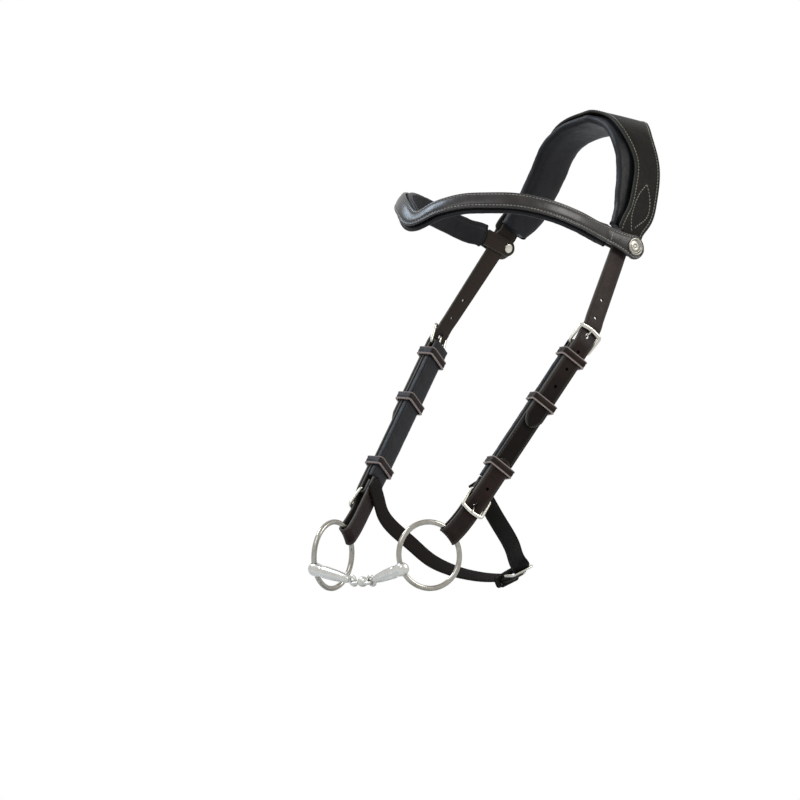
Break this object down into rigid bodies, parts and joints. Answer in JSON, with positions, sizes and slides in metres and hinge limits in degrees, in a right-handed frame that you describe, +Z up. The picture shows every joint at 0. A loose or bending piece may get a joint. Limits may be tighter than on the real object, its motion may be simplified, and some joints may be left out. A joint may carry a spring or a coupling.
{
  "type": "horse bridle",
  "caption": "English horse bridle with padded headpiece, curved browband, buckled cheekpieces, jaw strap and loose-ring snaffle bit.",
  "frame": {"origin": "underside of the headpiece lining where it rests on the poll, in the bridle's middle plane", "axes": "+Z up, -Y the way the horse faces, +X the horse's left"},
  "size_m": [0.2138, 0.3305, 0.4244],
  "materials": {
    "bridle_leather": "satin",
    "soft_lining": "satin",
    "buckle_steel": "polished",
    "bit_steel": "satin"
  },
  "bodies": {
    "bridle": {"browband_face": "bridle_leather", "browband_padding": "soft_lining", "headpiece_lining": "soft_lining", "headpiece_top": "bridle_leather", "jaw_buckle_frame": "buckle_steel", "jaw_keeper": "bridle_leather", "jaw_strap_left": "bridle_leather", "jaw_strap_right": "bridle_leather", "left_billet": "bridle_leather", "left_bit_strap": "bridle_leather", "left_cheek_lining": "soft_lining", "left_cheek_strap": "bridle_leather", "left_concho": "buckle_steel", "left_lower_buckle_frame": "buckle_steel", "left_lower_keeper": "bridle_leather", "left_snap_socket": "buckle_steel", "left_upper_buckle_frame": "buckle_steel", "left_upper_keeper": "bridle_leather", "right_billet": "bridle_leather", "right_bit_strap": "bridle_leather", "right_cheek_lining": "soft_lining", "right_cheek_strap": "bridle_leather", "right_concho": "buckle_steel", "right_lower_buckle_frame": "buckle_steel", "right_lower_keeper": "bridle_leather", "right_snap_socket": "buckle_steel", "right_upper_buckle_frame": "buckle_steel", "right_upper_keeper": "bridle_leather"},
    "left_ring": {"left_bit_ring": "bit_steel"},
    "left_runner": {"left_runner": "bridle_leather"},
    "left_upper_buckle_tongue": {"left_upper_buckle_tongue": "buckle_steel"},
    "left_lower_buckle_tongue": {"left_lower_buckle_tongue": "buckle_steel"},
    "left_tab": {"left_browband_tab": "bridle_leather", "left_snap_stud": "buckle_steel"},
    "right_ring": {"right_bit_ring": "bit_steel"},
    "right_runner": {"right_runner": "bridle_leather"},
    "right_upper_buckle_tongue": {"right_upper_buckle_tongue": "buckle_steel"},
    "right_lower_buckle_tongue": {"right_lower_buckle_tongue": "buckle_steel"},
    "right_tab": {"right_browband_tab": "bridle_leather", "right_snap_stud": "buckle_steel"},
    "left_arm": {"left_mouthpiece_arm": "bit_steel"},
    "right_arm": {"right_mouthpiece_arm": "bit_steel"},
    "mouthpiece_link": {"mouthpiece_link": "bit_steel"},
    "jaw_buckle_tongue": {"jaw_buckle_tongue": "buckle_steel"}
  },
  "joints": [
    {"name": "left_ring_turn", "type": "hinge", "parent": "bridle", "child": "left_ring", "pos_m": [0.06587, -0.27455, -0.37236], "axis": [0.9621, -0.2661, 0.0589], "continuous": true},
    {"name": "left_runner_slide", "type": "slide", "parent": "bridle", "child": "left_runner", "axis": [0.1151, 0.5923, 0.7974], "range_m": [-0.0627, 0.0416]},
    {"name": "left_upper_buckle_tongue_turn", "type": "hinge", "parent": "bridle", "child": "left_upper_buckle_tongue", "pos_m": [0.097, -0.1296, -0.1901], "axis": [0.2471, 0.7605, -0.6005], "range_deg": [0, 4]},
    {"name": "left_lower_buckle_tongue_turn", "type": "hinge", "parent": "bridle", "child": "left_lower_buckle_tongue", "pos_m": [0.07842, -0.22526, -0.31889], "axis": [-0.2471, -0.7605, 0.6005], "range_deg": [0, 4]},
    {"name": "left_tab_open", "type": "hinge", "parent": "bridle", "child": "left_tab", "pos_m": [0.08086, -0.08528, -0.09236], "axis": [-0.1299, 0.3705, 0.9197], "range_deg": [0, 60]},
    {"name": "right_ring_turn", "type": "hinge", "parent": "bridle", "child": "right_ring", "pos_m": [-0.06587, -0.27455, -0.37236], "axis": [-0.9621, -0.2661, 0.0589], "continuous": true},
    {"name": "right_runner_slide", "type": "slide", "parent": "bridle", "child": "right_runner", "axis": [-0.1151, 0.5923, 0.7974], "range_m": [-0.0627, 0.0416]},
    {"name": "right_upper_buckle_tongue_turn", "type": "hinge", "parent": "bridle", "child": "right_upper_buckle_tongue", "pos_m": [-0.097, -0.1296, -0.1901], "axis": [0.2471, -0.7605, 0.6005], "range_deg": [0, 4]},
    {"name": "right_lower_buckle_tongue_turn", "type": "hinge", "parent": "bridle", "child": "right_lower_buckle_tongue", "pos_m": [-0.07842, -0.22526, -0.31889], "axis": [-0.2471, 0.7605, -0.6005], "range_deg": [0, 4]},
    {"name": "right_tab_open", "type": "hinge", "parent": "bridle", "child": "right_tab", "pos_m": [-0.08086, -0.08528, -0.09236], "axis": [-0.1299, -0.3705, -0.9197], "range_deg": [0, 60]},
    {"name": "left_arm_swing", "type": "hinge", "parent": "bridle", "child": "left_arm", "pos_m": [0.0595, -0.30033, -0.38473], "axis": [0, -0.3988, 0.917], "range_deg": [-8, 8]},
    {"name": "right_arm_swing", "type": "hinge", "parent": "bridle", "child": "right_arm", "pos_m": [-0.0595, -0.30033, -0.38473], "axis": [0, -0.3988, 0.917], "range_deg": [-8, 8]},
    {"name": "link_slide", "type": "slide", "parent": "bridle", "child": "mouthpiece_link", "axis": [0, -0.917, -0.3988], "range_m": [-0.00653, 0.00653]},
    {"name": "jaw_buckle_tongue_turn", "type": "hinge", "parent": "bridle", "child": "jaw_buckle_tongue", "pos_m": [0.03399, -0.15043, -0.38655], "axis": [0.2391, 0.872, 0.4272], "range_deg": [0, 4]}
  ],
  "couplings": [
    {"joint": "right_arm_swing", "follows": "left_arm_swing", "ratio": -1},
    {"joint": "link_slide", "follows": "left_arm_swing", "m_per_rad": 0.046797}
  ]
}
